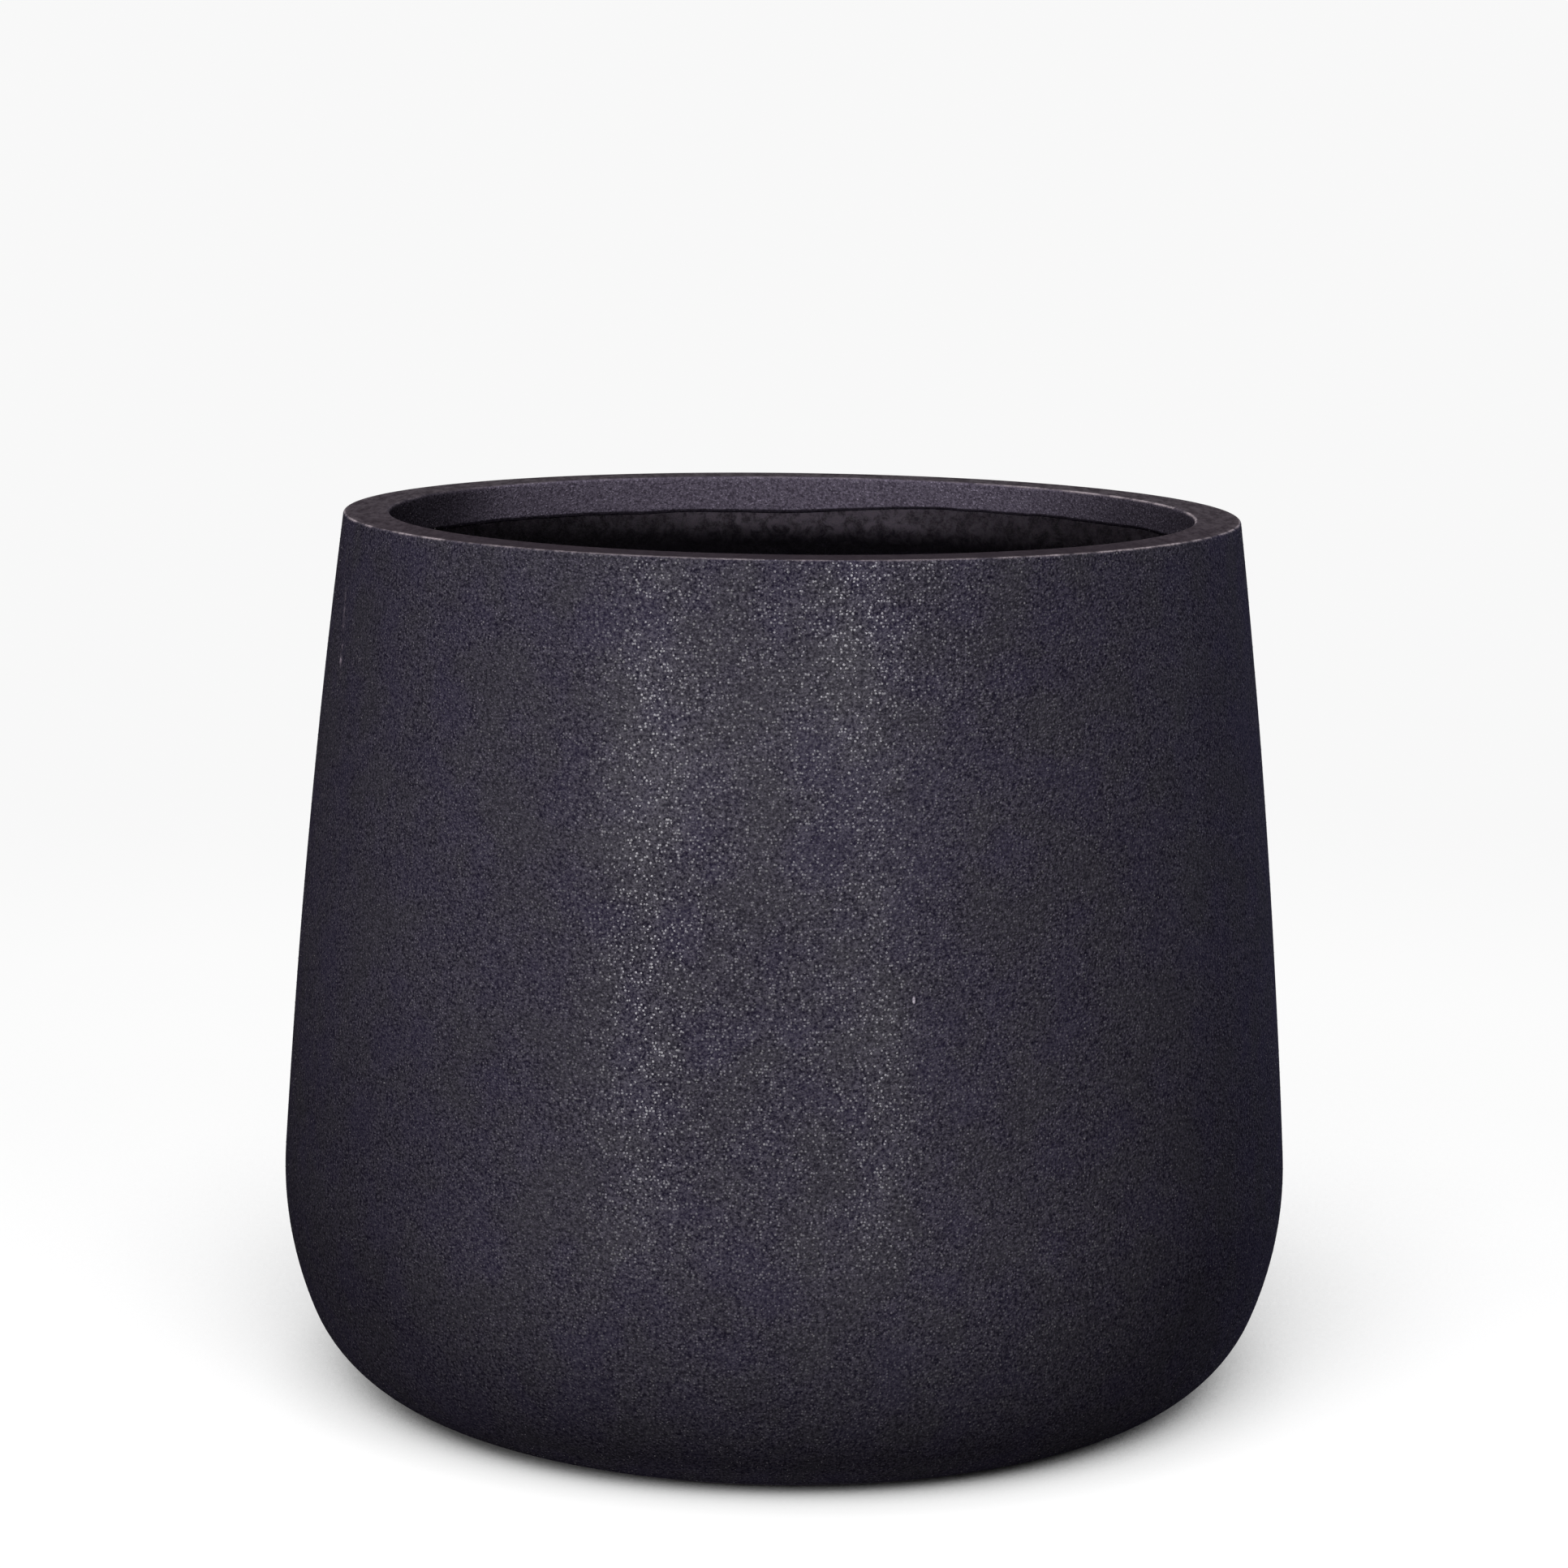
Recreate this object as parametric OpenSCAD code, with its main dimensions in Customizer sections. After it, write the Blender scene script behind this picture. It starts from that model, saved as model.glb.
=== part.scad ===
// Round planter pot, hand-laid in a mould from fibre-clay, with a sand-textured coat,
// a turned-in lip and a rubber stopper in the drain hole. Millimetres, +Z up, origin
// in the middle of the foot, on the surface that the pot stands on.

/* [Outside] */
// Height of the pot
pot_h = 438; // [360:1:560]
// Widest diameter, at the belly
belly_d = 500; // [450:1:640]
// Height of the widest place above the floor
belly_z = 112; // [80:1:150]
// Radius of the belly's curve, seen from the side
belly_r = 178; // [155:1:220]
// Radius of the curve from the foot up to the belly
corner_r = 72.5; // [50:0.5:90]
// Radius of the long curve of the upper wall
wall_r = 4760; // [1500:10:9000]

/* [Mouth and rim] */
// Diameter of the mouth
open_d = 393; // [300:1:440]
// Width of the rim, from the mouth to the outside of the wall
rim_w = 23.5; // [19:0.5:32]
// Thickness of the rim under its coat
rim_t = 7; // [4:0.5:10]
// Radius of the rim's outer edge
rim_edge_r = 2; // [2:0.5:7]
// Depth of the turned-in lip below the top of the rim
lip_depth = 18.5; // [14:0.5:40]
// Thickness of the lip under its coat
lip_t = 6; // [3:0.5:8]

/* [Layers] */
// Thickness of the sand-textured coat
coat_t = 1.2; // [0.8:0.1:1.8]
// Thickness of the moulded fibre-clay wall
shell_t = 6; // [4:0.5:9]
// Thickness of the fibre mat inside the wall
lining_t = 3; // [2:0.5:5]

/* [Floor] */
// Thickness of the moulded floor
floor_t = 8; // [6:0.5:14]
// Thickness of the fibre mat over the floor
floor_mat_t = 4; // [2:0.5:7]
// Width of the ring that the pot stands on
foot_w = 48; // [25:1:70]
// Height of the hollow inside the foot ring
recess_h = 2.5; // [1:0.5:4]

/* [Drain hole and stopper] */
// Diameter of the drain hole
drain_d = 25; // [18:0.5:32]
// Gap between the stopper and the hole, all round
plug_gap = 0.3; // [0.2:0.05:0.5]
// Taper of the stopper's stem, from its flange to its tip
plug_taper = 1.5; // [0.5:0.1:3]
// Height of the stopper's tip above the hollow in the foot
tip_lift = 0.5; // [0:0.5:2]
// Diameter of the stopper's flange
flange_d = 40; // [36:1:55]
// Thickness of the stopper's flange
flange_t = 3.5; // [2:0.5:6]
// Diameter of the stopper's knob
knob_d = 17; // [13:0.5:24]
// Height of the knob above the flange
knob_h = 11; // [8:0.5:16]
// Diameter of the neck between the flange and the knob
neck_d = 11; // [7:0.5:12]

/* [Hidden] */
$fn = 96;

far = 2 * belly_d;              // past the outside of the pot
corner_steps = 8;               // straight steps in each curve of the outline
belly_steps = 8;
wall_steps = 8;
edge_steps = 5;
round_steps = 4;
plug_round_r = 1.4;             // rounded edges of the flange and the knob

open_r = open_d / 2;
top_r = open_r + rim_w;         // outside of the wall, carried up to the top of the rim
inside_t = coat_t + shell_t;    // depth of the fibre-clay's inner face
rim_under_z = pot_h - coat_t - rim_t;
floor_top_z = floor_t + floor_mat_t;

// The outline is three arcs, each tangent to the next. A point of an arc is given by the angle
// at which the outline climbs there: 0 is level and outwards, 90 is straight up.
belly_c = [belly_d / 2 - belly_r, belly_z];
corner_run = belly_r - corner_r;
corner_c = [belly_c.x + sqrt(corner_run ^ 2 - (belly_z - corner_r) ^ 2), corner_r];
foot_r = corner_c.x;            // outside of the ring that the pot stands on

// The wall's arc touches the belly's from inside and ends at the top of the rim.
to_top = [top_r, pot_h] - belly_c;
top_dist = norm(to_top);
wall_run = wall_r - belly_r;
along = (wall_run ^ 2 - wall_r ^ 2 + top_dist ^ 2) / (2 * top_dist);
across = sqrt(wall_run ^ 2 - along ^ 2);
wall_c = belly_c + (along * to_top + across * [-to_top.y, to_top.x]) / top_dist;

// The rim's outer edge is rounded by an arc that touches the wall and the top.
edge_run = wall_r - rim_edge_r;
edge_a = acos((wall_c.y - pot_h + rim_edge_r) / edge_run);
edge_c = wall_c + edge_run * climb(edge_a);

function climb(a) = [sin(a), -cos(a)];
function climb_of(v) = atan2(v.x, -v.y);
function arc(c, r, from_a, to_a, steps) =
    [for (i = [0:steps]) c + r * climb(from_a + (to_a - from_a) * i / steps)];

// Outline of the pot, as deep as t under its surface, from the foot to the angle end_a of the wall
function side(t, end_a) = let (
    belly_a = climb_of(corner_c - belly_c),
    wall_a = climb_of(belly_c - wall_c)
) concat(
    arc(corner_c, corner_r - t, 0, belly_a, corner_steps),
    arc(belly_c, belly_r - t, belly_a, 90, belly_steps),
    arc(belly_c, belly_r - t, 90, wall_a, 2),
    arc(wall_c, wall_r - t, wall_a, end_a, wall_steps)
);

// Everything inside the pot's surface, t deep, with the rim's rounded edge
module solid_2d(t)
    polygon(concat(
        [[0, t]],
        side(t, edge_a),
        arc(edge_c, rim_edge_r - t, edge_a, 180, edge_steps),
        [[0, pot_h - t]]
    ));

// The same for a face inside the wall, which runs straight on up to the top
module inside_2d(t)
    polygon(concat(
        [[0, t]],
        side(t, acos((wall_c.y - pot_h) / (wall_r - t))),
        [[0, pot_h]]
    ));

// A level band across the pot, from one height and radius outwards
module band_2d(low_z, high_z, from_r = 0)
    translate([from_r, low_z]) square([far - from_r, high_z - low_z]);

module drain_hole()
    translate([0, 0, -1]) cylinder(d = drain_d, h = floor_top_z + 2);

// One skin over the outside, the rim and the lip, which ends at the foot's edge
module sand_coat() color([0.16, 0.16, 0.2])
    rotate_extrude() {
        difference() {
            solid_2d(0);
            solid_2d(coat_t);
            square([foot_r, coat_t]);
            translate([0, pot_h / 2]) square([open_r, pot_h]);
        }
        translate([open_r, pot_h - lip_depth]) square([coat_t, lip_depth]);
    }

// The moulded wall, from the floor's edge to the underside of the rim
module outer_shell() color([0.42, 0.39, 0.36])
    rotate_extrude() intersection() {
        difference() {
            solid_2d(coat_t);
            inside_2d(inside_t);
            square([foot_r, inside_t]);
        }
        band_2d(0, rim_under_z);
    }

// The flat top of the rim, which lies on the wall
module rim_ring() color([0.45, 0.42, 0.39])
    rotate_extrude() intersection() {
        solid_2d(coat_t);
        band_2d(rim_under_z, pot_h, open_r + coat_t);
    }

// The skirt that hangs from the rim's inner edge
module return_lip() color([0.48, 0.45, 0.42])
    rotate_extrude()
        translate([open_r + coat_t, pot_h - lip_depth])
            square([lip_t, rim_under_z - pot_h + lip_depth]);

// Fibre mat inside the wall, lapped onto the floor's mat
module wall_lining() color([0.3, 0.27, 0.25])
    rotate_extrude() intersection() {
        difference() {
            inside_2d(inside_t);
            inside_2d(inside_t + lining_t);
            square([foot_r, inside_t + lining_t]);
        }
        band_2d(floor_top_z, rim_under_z);
    }

// The moulded floor, with a shallow hollow that leaves the foot ring
module base_floor() color([0.4, 0.37, 0.34])
    difference() {
        cylinder(r = foot_r, h = floor_t);
        translate([0, 0, -1]) cylinder(r = foot_r - foot_w, h = recess_h + 1);
        drain_hole();
    }

// Fibre mat over the floor, out to the wall's own inner face
module floor_lining() color([0.28, 0.25, 0.23])
    difference() {
        rotate_extrude() {
            translate([0, floor_t]) square([foot_r, floor_mat_t]);
            intersection() {
                inside_2d(inside_t);
                band_2d(0, floor_top_z, foot_r);
            }
        }
        drain_hole();
    }

// Rubber stopper: a tapered stem in the hole, a flange on the floor's mat and a knob to pull
module drain_plug() color([0.1, 0.1, 0.1]) {
    stem_r = drain_d / 2 - plug_gap;
    flange_r = flange_d / 2;
    flange_z = floor_top_z + flange_t;
    knob_r = knob_d / 2;
    knob_z = flange_z + knob_h;
    knob_t = knob_h / 2;
    rotate_extrude() polygon(concat(
        [[0, recess_h + tip_lift], [stem_r - plug_taper, recess_h + tip_lift]],
        [[stem_r, floor_top_z], [flange_r, floor_top_z]],
        arc([flange_r - plug_round_r, flange_z - plug_round_r], plug_round_r, 90, 180, round_steps),
        [[neck_d / 2, flange_z], [neck_d / 2, knob_z - knob_t]],
        arc([knob_r - plug_round_r, knob_z - knob_t + plug_round_r], plug_round_r, 0, 90, round_steps),
        arc([knob_r - plug_round_r, knob_z - plug_round_r], plug_round_r, 90, 180, round_steps),
        [[0, knob_z]]
    ));
}

sand_coat();
outer_shell();
rim_ring();
return_lip();
wall_lining();
base_floor();
floor_lining();
drain_plug();
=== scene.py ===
import math

import bmesh
import bpy
from mathutils import Matrix, Vector


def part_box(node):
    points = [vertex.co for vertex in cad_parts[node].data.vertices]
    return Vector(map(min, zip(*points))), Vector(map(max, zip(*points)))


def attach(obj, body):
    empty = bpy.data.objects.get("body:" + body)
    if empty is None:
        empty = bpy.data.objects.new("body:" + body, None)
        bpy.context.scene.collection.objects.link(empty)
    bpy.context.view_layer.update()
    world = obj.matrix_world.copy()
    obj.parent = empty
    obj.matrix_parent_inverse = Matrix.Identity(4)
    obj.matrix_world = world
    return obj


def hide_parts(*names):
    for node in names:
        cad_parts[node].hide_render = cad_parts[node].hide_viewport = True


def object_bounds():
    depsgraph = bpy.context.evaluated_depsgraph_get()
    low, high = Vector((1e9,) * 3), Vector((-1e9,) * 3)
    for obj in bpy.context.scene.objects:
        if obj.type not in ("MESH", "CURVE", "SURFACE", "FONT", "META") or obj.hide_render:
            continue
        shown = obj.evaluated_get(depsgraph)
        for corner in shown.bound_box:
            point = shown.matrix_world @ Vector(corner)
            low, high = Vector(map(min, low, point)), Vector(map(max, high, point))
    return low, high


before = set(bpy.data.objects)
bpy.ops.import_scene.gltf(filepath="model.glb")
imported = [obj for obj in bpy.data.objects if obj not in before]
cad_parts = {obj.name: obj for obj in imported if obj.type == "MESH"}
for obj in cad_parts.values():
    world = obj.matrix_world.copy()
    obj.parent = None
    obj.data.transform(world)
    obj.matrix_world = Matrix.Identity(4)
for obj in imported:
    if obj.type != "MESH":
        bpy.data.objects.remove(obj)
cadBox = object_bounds()
cadTop = cadBox[1].z
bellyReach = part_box("sand_coat")[1].x
print("frame loaded:", ", ".join(sorted(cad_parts)))

outline = {  # the pot's own curves, in metres
    "bellyHeight": 0.112, "bellyCurve": 0.178, "cornerCurve": 0.0725, "wallCurve": 4.76,
    "mouthRadius": 0.1965, "rimWidth": 0.0235, "rimEdge": 0.0020,
    "coatFace": 0.0012, "shellFace": 0.0072, "matFace": 0.0102,  # depths of the layers' inner faces
}


class Wire:  # one socket that can stand in a sum, in a material and in Geometry Nodes alike
    def __init__(self, bench, socket):
        self.bench = bench
        self.socket = socket

    def __add__(self, other):
        return self.bench.maths("ADD", self, other)

    def __radd__(self, other):
        return self.bench.maths("ADD", other, self)

    def __sub__(self, other):
        return self.bench.maths("SUBTRACT", self, other)

    def __rsub__(self, other):
        return self.bench.maths("SUBTRACT", other, self)

    def __mul__(self, other):
        return self.bench.maths("MULTIPLY", self, other)

    def __rmul__(self, other):
        return self.bench.maths("MULTIPLY", other, self)

    def __truediv__(self, other):
        return self.bench.maths("DIVIDE", self, other)

    def __rtruediv__(self, other):
        return self.bench.maths("DIVIDE", other, self)

    def __pow__(self, other):
        return self.bench.maths("POWER", self, other)

    def sister(self, name):  # another output of the same node
        return Wire(self.bench, self.socket.node.outputs[name])


class Bench:  # a node tree under construction
    def __init__(self, tree):
        self.tree = tree

    def feed(self, socket, value):
        if isinstance(value, Wire):
            self.tree.links.new(value.socket, socket)
        else:
            socket.default_value = value

    def node(self, kind, settings, values, output=0):
        made = self.tree.nodes.new(kind)
        for name, setting in settings.items():
            setattr(made, name, setting)
        for name, value in values.items():
            self.feed(made.inputs[name], value)
        if made.outputs:
            return Wire(self, made.outputs[output])

    def maths(self, operation, *values):
        return self.node("ShaderNodeMath", {"operation": operation}, dict(enumerate(values)))

    def clamped(self, value):  # kept between 0 and 1
        return self.node("ShaderNodeMath", {"operation": "ADD", "use_clamp": True}, {0: value, 1: 0.0})

    def ramp(self, value, low, high, start=0.0, end=1.0):  # soft step: start up to low, end from high on
        return self.node("ShaderNodeMapRange", {"interpolation_type": "SMOOTHSTEP"},
                         {"Value": value, "From Min": low, "From Max": high, "To Min": start, "To Max": end})

    def vectors(self, operation, *values):
        return self.node("ShaderNodeVectorMath", {"operation": operation}, dict(enumerate(values)))

    def scaled(self, vector, amount):
        return self.node("ShaderNodeVectorMath", {"operation": "SCALE"}, {0: vector, "Scale": amount})

    def length(self, vector):
        return self.node("ShaderNodeVectorMath", {"operation": "LENGTH"}, {0: vector}, "Value")

    def split(self, vector):  # its x, y and z
        first = self.node("ShaderNodeSeparateXYZ", {}, {0: vector})
        return [first.sister(axis) for axis in "XYZ"]

    def joined(self, values):  # a vector from {axis: value}
        return self.node("ShaderNodeCombineXYZ", {}, values)

    def blend(self, factor, first, second):  # two colours
        first, second = [(*tint, 1) if isinstance(tint, tuple) else tint for tint in (first, second)]
        return self.node("ShaderNodeMix", {"data_type": "RGBA"}, {0: factor, 6: first, 7: second}, 2)

    def noise(self, place, width, detail=2.0, rough=0.5, warp=0.0):  # width of a feature, in metres
        return self.node("ShaderNodeTexNoise", {}, {"Vector": place, "Scale": 1 / width, "Detail": detail,
                                                    "Roughness": rough, "Distortion": warp})

    def cells(self, place, width, output="Distance"):
        return self.node("ShaderNodeTexVoronoi", {}, {"Vector": place, "Scale": 1 / width}, output)


def startFinish(name):
    material = bpy.data.materials.new(name)
    material.use_nodes = True
    material.node_tree.nodes.clear()
    bench = Bench(material.node_tree)
    return material, bench, bench.node("ShaderNodeTexCoord", {}, {}, "Object")


def endFinish(bench, shader):
    bench.node("ShaderNodeOutputMaterial", {}, {"Surface": shader})


def endSolid(bench, values):
    endFinish(bench, bench.node("ShaderNodeBsdfPrincipled", {}, values))


def reading(bench, name):  # a number stored on the mesh
    return bench.node("ShaderNodeAttribute", {"attribute_name": name}, {}, "Fac")


def bump(bench, height, depth):
    return bench.node("ShaderNodeBump", {}, {"Height": height, "Distance": depth, "Strength": 1.0})


# Pairs and fours of numbers are soft steps: from, to, and the values before and after them.
coatLook = {
    "grain": 0.0014, "grainDepth": 0.00055,  # width and height of a sand grain
    "level": (0.30, 0.74), "dome": (0.08, 0.50, 1.0, 0.0), "sparkle": (0.30, 1.0),
    "levelTone": 0.33, "domeTone": 0.60,
    "hollow": (0.0050, 0.0041, 0.0096), "crown": (0.156, 0.143, 0.178),  # between the grains, and on them: the dark hollows partly painted shade, the pale crowns partly painted light
    "plum": (0.026, 0.022, 0.043), "ash": (0.030, 0.029, 0.032),  # two casts that drift over the coat
    "castWidth": 0.030, "plumCast": (0.45, 0.70, 0.0, 0.35), "ashCast": (0.55, 0.32, 0.0, 0.35),
    "oddGrain": (0.20, 0.19, 0.195), "oddShare": 0.010, "oddAmount": 0.5,
    "footPaintedShade": (0.016, 0.085, 0.50, 1.0), "footEdgePaintedLight": (0.0, 0.026, 1.0, 0.0),  # painted shade by height, at the front, and painted light at the foot's very edge
    "flankPaintedShade": (0.11, 0.25, 0.78, 1.0),  # painted shade by height, at the sides and the back
    "frontShare": (-0.235, -0.150, 1.0, 0.0),  # by Y
    "roughness": 0.68, "roughnessSpread": 0.2, "specular": 0.0,
    "sealerLevel": 0.13, "sealerGlint": 3.0, "sealerPatch": 0.2, "patchWidth": 0.085,
    "sealerRoughness": 0.29, "sealerIndex": 1.45,
    "sealerTurn": (0.10, 0.55, 1.0, 0.0),  # the sealer thins out where the surface turns away
}
lipFaceLook = {
    "edge": (0.0008, 0.0017),  # distances from the mouth's radius, between which the lip's face ends
    "grain": 0.0015, "level": (0.32, 0.70), "levelTone": 0.62, "domeTone": 0.75,
    # between the grains and on them: partly painted shade and painted light, as on the outer coat
    "hollow": (0.036, 0.030, 0.043), "crown": (0.176, 0.155, 0.199),
    "leftShade": (-0.182, -0.140, 0.34, 1.0), "rightShade": (0.105, 0.180, 1.0, 0.50),  # painted shade towards the lip face's left and right, by X
    "paintedEdgeShadow": (0.004, 0.003, 0.005), "paintedEdgeShadowFrom": (0.90, 0.95, 0.0, 0.85),  # painted shadow: a near-black line along the lip's hand-cut lower edge
    "flatness": 0.6, "sealerLoss": 0.8,
}
landLook = {
    "hollow": (0.0165, 0.0128, 0.0160), "crown": (0.0430, 0.0350, 0.0412),
    "smearWidth": 0.0036, "smearStretch": (1.0, 0.28, 1.0), "smear": (0.34, 0.66),
    "smearTone": 0.6, "levelTone": 0.7, "middleLevel": 0.25,
    "frontShade": (-0.19, -0.05, 0.85, 0.0),  # by Y
    "sealer": (0.36, 0.64, 0.030, 0.070), "sealerFront": (-0.16, 0.12, 0.2, 1.0), "flatness": 0.6,
}
markLook = {
    "scuff": (0.260, 0.220, 0.250), "scuffAside": 0.0716, "scuffHeight": 0.400, "scuffLean": 0.2,
    "scuffWander": 0.004, "wanderWidth": 0.006, "scuffEdge": (0.0004, 0.0024, 1.0, 0.0),
    "scuffFoot": (0.362, 0.366, 0.0, 1.0), "scuffTop": (0.372, 0.412, 1.0, 0.0),  # by height
    "scuffGap": 0.005, "scuffGaps": (0.42, 0.62),
    # painted highlight of a small proud lump, with its painted shadow just beside it
    "paintedLumpLight": (0.330, 0.300, 0.340), "lumpSpotPlace": (0.0569, -0.2340, 0.2429), "lumpSpotEdge": (0.6, 1.1, 0.9, 0.0),
    "lumpSpotSharpness": (1400, 200.0, 560),  # 1 / half its size each way
    "paintedShadowOffset": 0.0011, "shadowSize": 0.8,
}
# pale rubbed wear on the rim's edges, made brighter on some sides as a painted highlight
edgeWearAndHighlightLook = {
    "tint": (0.215, 0.187, 0.196), "patchWidth": 0.020, "patches": (0.40, 0.60, 0.10, 1.0),
    "outerWearAndHighlight": (0.05, 0.16, 0.40, 1.0),  # by the distance from the middle, on the rim's outer edge: painted highlight towards the sides
    "innerSide": (0.08, 0.15, 0.25, 1.5),  # by X, on its inner edge: painted highlight towards the right
    "innerEdge": (0.004, 0.006),  # distances from the mouth's radius, where one goes over into the other
}


def lipFaceColour(bench, place, x, dome, tone):
    look = lipFaceLook
    level = bench.ramp(bench.noise(place, look["grain"], detail=4.0, rough=0.7), *look["level"])
    crown = bench.clamped(level * look["levelTone"] + dome * tone ** 2 * look["domeTone"])
    sand = bench.blend(crown, look["hollow"], look["crown"])
    # painted shade darkens the lip's face towards its left and right
    return bench.scaled(sand, bench.ramp(x, *look["leftShade"]) * bench.ramp(x, *look["rightShade"]))


def landColour(bench, smear, level, y):
    look = landLook
    smeared = bench.ramp(smear, *look["smear"]) * look["smearTone"]
    crown = bench.clamped(smeared + (level - look["middleLevel"]) * look["levelTone"])
    land = bench.blend(crown, look["hollow"], look["crown"])
    return bench.blend(bench.ramp(y, *look["frontShade"]), land, look["hollow"])


def paintedCoatShadeAndLight(bench, y, z):  # painted shade: darker low on the flanks and at the front of the foot, with painted light at the foot's very edge
    look = coatLook
    foot = bench.ramp(z, *look["footPaintedShade"]) + bench.ramp(z, *look["footEdgePaintedLight"])
    front = bench.ramp(y, *look["frontShare"])
    flank = bench.ramp(z, *look["flankPaintedShade"])
    return flank + (foot - flank) * front


def marked(bench, colour, place, x, y, z):  # the long scuff on the left, and at the front a painted highlight with a painted shadow beside it, for a small proud lump
    look = markLook
    wander = (bench.noise(place, look["wanderWidth"]) - 0.5) * look["scuffWander"]
    lean = (look["scuffHeight"] - z) * look["scuffLean"]
    aside = bench.maths("ABSOLUTE", y + look["scuffAside"] + lean + wander)
    scuff = bench.ramp(aside, *look["scuffEdge"]) * bench.maths("LESS_THAN", x, 0.0)
    scuff = scuff * bench.ramp(z, *look["scuffFoot"]) * bench.ramp(z, *look["scuffTop"])
    gaps = bench.noise(place, look["scuffGap"], detail=3.0, rough=0.6)
    scuff = scuff * bench.ramp(gaps, *look["scuffGaps"])
    colour = bench.blend(scuff, colour, look["scuff"])
    # a painted highlight, then its painted shadow just beside it
    spotX, spotY, spotZ = look["lumpSpotPlace"]
    sharpX, sharpY, sharpZ = look["lumpSpotSharpness"]
    shadow = (look["paintedShadowOffset"], look["shadowSize"], coatLook["hollow"])
    for offset, size, tint in ((0.0, 1.0, look["paintedLumpLight"]), shadow):
        away = bench.vectors("SUBTRACT", place, (spotX + offset, spotY, spotZ))
        away = bench.vectors("MULTIPLY", away, (sharpX / size, sharpY, sharpZ / size))
        colour = bench.blend(bench.ramp(bench.length(away), *look["lumpSpotEdge"]), colour, tint)
    return colour


def wornAndHighlitEdges(bench, place, x, radius, level):  # how far the rim's two edges are pale: partly rubbed wear, partly painted highlight where light catches them
    look = edgeWearAndHighlightLook
    mouth = outline["mouthRadius"]
    start, end = look["innerEdge"]
    outerWearAndHighlight = bench.ramp(bench.maths("ABSOLUTE", x), *look["outerWearAndHighlight"])
    innerSide = bench.ramp(x, *look["innerSide"])
    inner = bench.ramp(radius, mouth + start, mouth + end, 1.0, 0.0)
    side = outerWearAndHighlight + (innerSide - outerWearAndHighlight) * inner
    patches = bench.ramp(bench.noise(place, look["patchWidth"], detail=3.0, rough=0.65), *look["patches"])
    rubbed = patches * (0.6 + 0.8 * level)  # more on the crowns of the sand
    return bench.clamped(reading(bench, "arris") * rubbed * side)


def sandCoatFinish():
    look = coatLook
    material, bench, place = startFinish("sandCoat")
    x, y, z = bench.split(place)
    land = reading(bench, "land")
    radius = bench.length(bench.vectors("MULTIPLY", place, (1.0, 1.0, 0.0)))
    start, end = lipFaceLook["edge"]
    lipFace = bench.ramp(radius, outline["mouthRadius"] + start, outline["mouthRadius"] + end, 1.0, 0.0)

    blasted = bench.noise(place, look["grain"], detail=3.0, rough=0.62)
    level = bench.ramp(blasted, *look["level"])
    gap = bench.cells(place, look["grain"])
    dome = bench.ramp(gap + (blasted - 0.5) * 0.4, *look["dome"])
    draws = bench.cells(place, look["grain"], "Color")  # three random numbers for each grain
    tone, oddity, chance = bench.split(draws)
    glint = dome * bench.ramp(chance, *look["sparkle"]) ** 3

    # painted shade in the hollows and painted light on the grain crowns, mixed with each grain's own random
    # tone
    crown = bench.clamped(level * look["levelTone"] + dome * tone ** 2 * look["domeTone"])
    sand = bench.blend(crown, look["hollow"], look["crown"])
    cast = bench.noise(place, look["castWidth"], detail=2.0, rough=0.6)
    sand = bench.blend(bench.ramp(cast, *look["plumCast"]), sand, look["plum"])
    sand = bench.blend(bench.ramp(cast, *look["ashCast"]), sand, look["ash"])
    odd = bench.maths("GREATER_THAN", oddity, 1 - look["oddShare"])
    sand = bench.blend(odd * dome * look["oddAmount"], sand, look["oddGrain"])
    sand = bench.blend(lipFace, sand, lipFaceColour(bench, place, x, dome, tone))
    # painted shade low on the pot and painted light at the foot's edge scale the sand colour and its sealer
    paintedShadeAndLight = paintedCoatShadeAndLight(bench, y, z)
    sand = bench.scaled(sand, paintedShadeAndLight)
    # painted shadow along the lip's lower edge
    paintedEdgeShadow = bench.ramp(reading(bench, "hang"), *lipFaceLook["paintedEdgeShadowFrom"]) * lipFace
    sand = bench.blend(paintedEdgeShadow, sand, lipFaceLook["paintedEdgeShadow"])

    stretched = bench.vectors("MULTIPLY", place, landLook["smearStretch"])
    smear = bench.noise(stretched, landLook["smearWidth"], detail=4.0, rough=0.66)
    colour = bench.blend(land, sand, landColour(bench, smear, level, y))
    colour = marked(bench, colour, place, x, y, z)
    colour = bench.blend(wornAndHighlitEdges(bench, place, x, radius, level), colour, edgeWearAndHighlightLook["tint"])

    height = level * 0.7 + dome * (0.3 + tone * 0.7)
    height = height * (1 - land * landLook["flatness"]) * (1 - lipFace * lipFaceLook["flatness"])
    turned = bench.node("ShaderNodeLayerWeight", {}, {"Blend": 0.5}, "Facing")
    patch = (bench.noise(place, look["patchWidth"], detail=3.0, rough=0.55) - 0.5) * look["sealerPatch"]
    sealer = bench.clamped(level * look["sealerLevel"] + glint * look["sealerGlint"] + patch)
    sealer = sealer * (1 - lipFace * lipFaceLook["sealerLoss"]) * bench.ramp(turned, *look["sealerTurn"])
    sealer = sealer * (1 - land) * paintedShadeAndLight
    landSealer = land * bench.ramp(smear, *landLook["sealer"]) * bench.ramp(y, *landLook["sealerFront"])
    endSolid(bench, {
        "Base Color": colour, "Roughness": look["roughness"] + (tone - 0.5) * look["roughnessSpread"],
        "Normal": bump(bench, height, look["grainDepth"]), "Specular IOR Level": look["specular"],
        "Coat Weight": sealer + landSealer, "Coat Roughness": look["sealerRoughness"],
        "Coat IOR": look["sealerIndex"]})
    return material


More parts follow.
